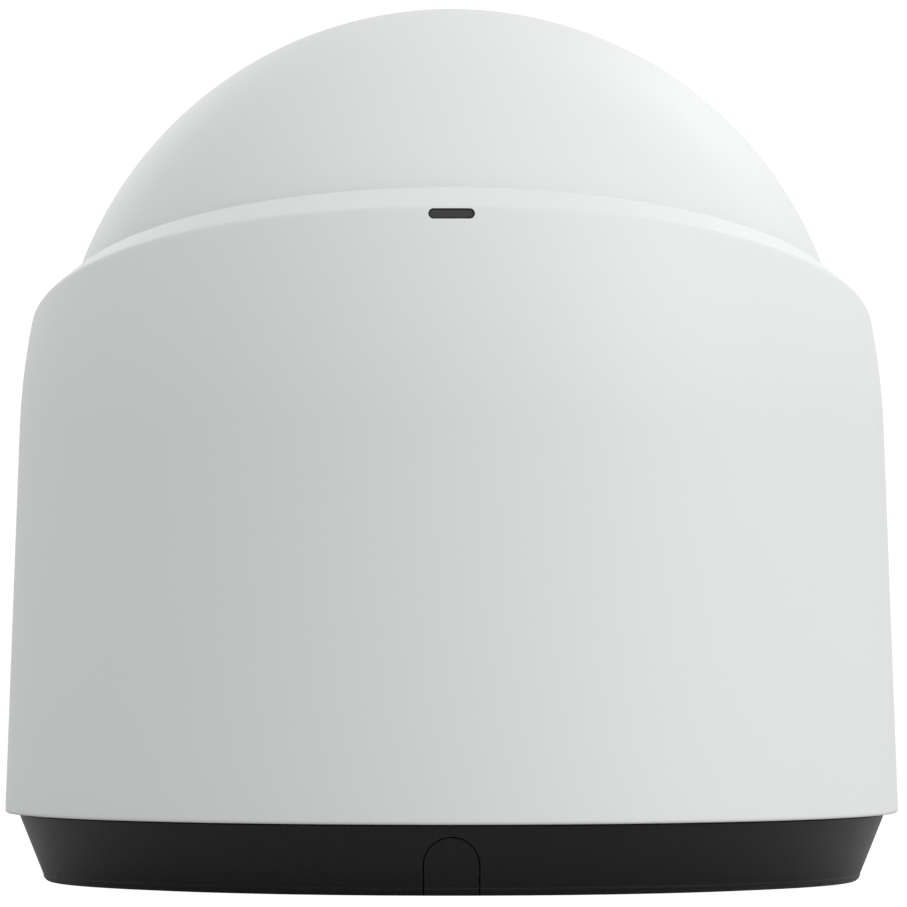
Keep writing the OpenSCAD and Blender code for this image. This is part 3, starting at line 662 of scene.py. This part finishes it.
class PTZ_OT_housing(Maker):
    """The white housing with its sloping, chamfered rim"""

    bl_idname = "ptz.housing"
    bl_label = "Housing"

    def make(self, s):
        sharp = 40
        skin = piece("housing_skin", housing_surface(s), "pan", "white_plastic", ["housing"], sharp)
        # in metres along Y, the cut ends 3 mm past the light pipe's face
        width, height, start = 6.0 * MM, 1.36 * MM, 0.0512
        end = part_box("status_light_pipe")[1].y + 3 * MM
        cutter_verts, cutter_faces = capped(pill_prism(width, height, start, end, slot_height()))
        mesh = bpy.data.meshes.new("slot_cutter")
        mesh.from_pydata(cutter_verts.tolist(), [], cutter_faces)
        cutter = bpy.data.objects.new("slot_cutter", mesh)
        bpy.context.scene.collection.objects.link(cutter)
        cut = skin.modifiers.new("slot", "BOOLEAN")
        cut.object, cut.operation, cut.solver = cutter, "DIFFERENCE", "EXACT"
        bpy.context.view_layer.objects.active = skin
        bpy.ops.object.modifier_apply(modifier="slot")
        skin.data.set_sharp_from_angle(angle=math.radians(sharp))
        bpy.data.objects.remove(cutter)


class PTZ_OT_status_light(Maker):
    """The smoked window of the status light, set into its slot"""

    bl_idname = "ptz.status_light"
    bl_label = "Status light"

    def make(self, s):
        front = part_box("status_light_pipe")[1].y
        # in millimetres: the pill's size, and each ring's inset and depth, from the back to the face
        width, height = 5.92, 1.28
        rings = []
        for inset, depth in ((0, 2.2), (0, 0.3), (0.12, 0.1), (0.4, 0.0)):
            y = front - depth * MM
            rings.append(pill_prism((width - inset) * MM, (height - inset) * MM, y, y, slot_height())[0])
        window = capped(np.stack(rings))
        piece("status_light_window", window, "pan", "smoked_light_pipe", ["status_light_pipe"])


class PTZ_OT_ball(Maker):
    """The two white shells of the ball head"""

    bl_idname = "ptz.ball"
    bl_label = "Ball head"

    def make(self, s):
        r, inner = s.ball_radius, s.ball_radius - s.shell_wall
        # how far the rounding of the seam and of the window's mouth reaches
        lip = 0.25 * MM
        seam_out = math.acos((s.seam - 0.03 * MM) / r)
        seam_in = math.acos(s.seam / inner)
        outer = arc(r, math.pi, seam_out + lip / r, 96)
        edge = np.array([[r * math.sin(seam_out) - lip * 0.35, s.seam - 0.1 * MM],
                         [r * math.sin(seam_out) - lip * 1.2, s.seam - 0.03 * MM]])
        inward = arc(inner, seam_in, math.pi, 64)
        profile = np.concatenate([outer, edge, inward])
        profile[0, 0] = profile[-1, 0] = 0
        verts, faces = turned(profile, s.turns, True)
        # flat sides, hidden in the housing: x is held to the flats, less the wall for the inside
        outer_flat, inner_flat = 52 * MM, 50 * MM
        radius = np.linalg.norm(verts - CENTRE, axis=1)
        limit = np.where(radius > (r + inner) / 2, outer_flat, inner_flat)
        verts[:, 0] = np.clip(verts[:, 0], -limit, limit)
        piece("ball_rear_shell", (verts, faces), "head", "white_plastic", ["head_rear_shell"])

        open_at = s.window_radius + 0.12 * MM
        seam_front = math.acos((s.seam + 0.08 * MM) / r)
        rim = math.asin(open_at / r)
        outer = arc(r, seam_front - lip / r, rim + lip / r, 64)
        # the ledge behind the window, and where it runs into the inside of the shell
        ledge, root = 21.4 * MM, 27.5 * MM
        mouth = np.array([
            [open_at + lip * 0.3, r * math.cos(rim) - 0.06 * MM],
            [open_at, r * math.cos(rim) - 0.3 * MM],
            [open_at, 45.4 * MM],
            [ledge, 46.9 * MM],
            [ledge, 45.2 * MM],
            [25.6 * MM, 43 * MM],
        ])
        back = arc(inner, math.asin(root / inner), math.acos((s.seam + 0.06 * MM) / inner), 48)
        edge = np.array([[r * math.sin(seam_front) - lip * 1.2, s.seam + 0.07 * MM],
                         [r * math.sin(seam_front) - lip * 0.35, s.seam + 0.13 * MM]])
        shell = turned(np.concatenate([outer, mouth, back, edge]), s.turns, False)
        piece("ball_front_shell", shell, "head", "white_plastic", ["head_front_shell"])


class PTZ_OT_face(Maker):
    """The dark window, the lens bezel and the cover glass"""

    bl_idname = "ptz.face"
    bl_label = "Face"

    def make(self, s):
        recess, wall = 0.1 * MM, 1.6 * MM
        r = s.ball_radius - recess
        inner = r - wall
        hole, soft = 10.7 * MM, 0.35 * MM

        def rounding(out):
            """The point of the rounded edge that lies this far out."""
            return np.array([[out, r * math.cos(math.asin(out / r)) - soft * 0.7]])

        outer = arc(r, math.asin((s.window_radius - soft) / r), math.asin((hole + soft) / r), 48)
        inside = arc(inner, math.asin(hole / inner), math.asin(s.window_radius / inner), 32)
        profile = np.concatenate([outer, rounding(hole), inside, rounding(s.window_radius)])
        window = turned(profile, s.turns, False)
        piece("face_window_glass", window, "head", "window_plastic", ["face_window"])

        # in millimetres (distance out, forward): round the front to the inside, and back by the flange
        section = np.array([
            [10.55, 51.2], [10.5, 51.9], [10.3, 52.1], [10.05, 52.0], [9.85, 51.3], [9.75, 50.9],
            [9.7, 49.6], [8.9, 49.6], [8.6, 46.7], [13, 46.7], [13, 49.2], [10.55, 49.5],
        ]) * MM
        bezel = turned(section, s.turns, False)
        piece("lens_bezel_ring", bezel, "head", "black_plastic", ["lens_bezel"], sharp=50)

        # in millimetres: a face that drops by 0.25 towards its edge, a bevel and a flat back
        out = np.linspace(0, 9.4, 24)
        front = np.stack([out, 50.85 - 0.25 * (out / 9.4) ** 2], -1)
        back = np.array([[9.6, 50.45], [9.6, 49.75], [0, 49.75]])
        cover = turned(np.concatenate([front, back]) * MM, 128, True)
        piece("cover_glass_disc", cover, "head", "lens_glass", ["cover_glass"])


class PTZ_OT_works(Maker):
    """Finishes of the CAD pieces that keep their own shape"""

    bl_idname = "ptz.works"
    bl_label = "Base and inner works"

    def make(self, s):
        for part in frame["record"]["subparts"]:
            obj = NODES[part["node"]]
            if not obj.material_slots:
                obj.data.materials.append(None)
            obj.material_slots[0].material = finish(part["material_slot"])


class PTZ_OT_stage(Maker):
    """Camera, pale floor, white surroundings and soft lights"""

    bl_idname = "ptz.stage"
    bl_label = "Stage"

    def make(self, s):
        scene = bpy.context.scene
        stage = scene.ptz_stage
        scene.view_settings.view_transform = "Standard"
        place_camera(scene, stage)
        lay_floor(scene, stage)
        surround(scene, stage)
        hang_lights(stage)


class PTZ_PT_panel(bpy.types.Panel):
    """Lists the makers and their settings in the sidebar"""

    bl_idname = "PTZ_PT_panel"
    bl_label = "Round PTZ camera"
    bl_space_type = "VIEW_3D"
    bl_region_type = "UI"
    bl_category = "PTZ camera"

    def draw(self, context):
        for group in (context.scene.ptz_sizes, context.scene.ptz_colours, context.scene.ptz_stage):
            box = self.layout.box()
            for key in group.__annotations__:
                box.prop(group, key)
        for maker in MAKERS:
            self.layout.operator(maker.bl_idname)


GROUPS = (PtzSizes, PtzColours, PtzStage)
MAKERS = (PTZ_OT_stage, PTZ_OT_works, PTZ_OT_housing, PTZ_OT_status_light, PTZ_OT_ball, PTZ_OT_face)


def register():
    for cls in (*GROUPS, *MAKERS, PTZ_PT_panel):
        bpy.utils.register_class(cls)
    bpy.types.Scene.ptz_sizes = PointerProperty(type=PtzSizes)
    bpy.types.Scene.ptz_colours = PointerProperty(type=PtzColours)
    bpy.types.Scene.ptz_stage = PointerProperty(type=PtzStage)


def unregister():
    for name in ("ptz_sizes", "ptz_colours", "ptz_stage"):
        delattr(bpy.types.Scene, name)
    for cls in reversed((*GROUPS, *MAKERS, PTZ_PT_panel)):
        bpy.utils.unregister_class(cls)


def corners(box):
    """A box as plain lists of numbers."""
    return [[float(v) for v in corner] for corner in box]


def main():
    register()
    for maker in MAKERS:
        group, name = maker.bl_idname.split(".")
        getattr(getattr(bpy.ops, group), name)()


if __name__ == "__main__":
    main()
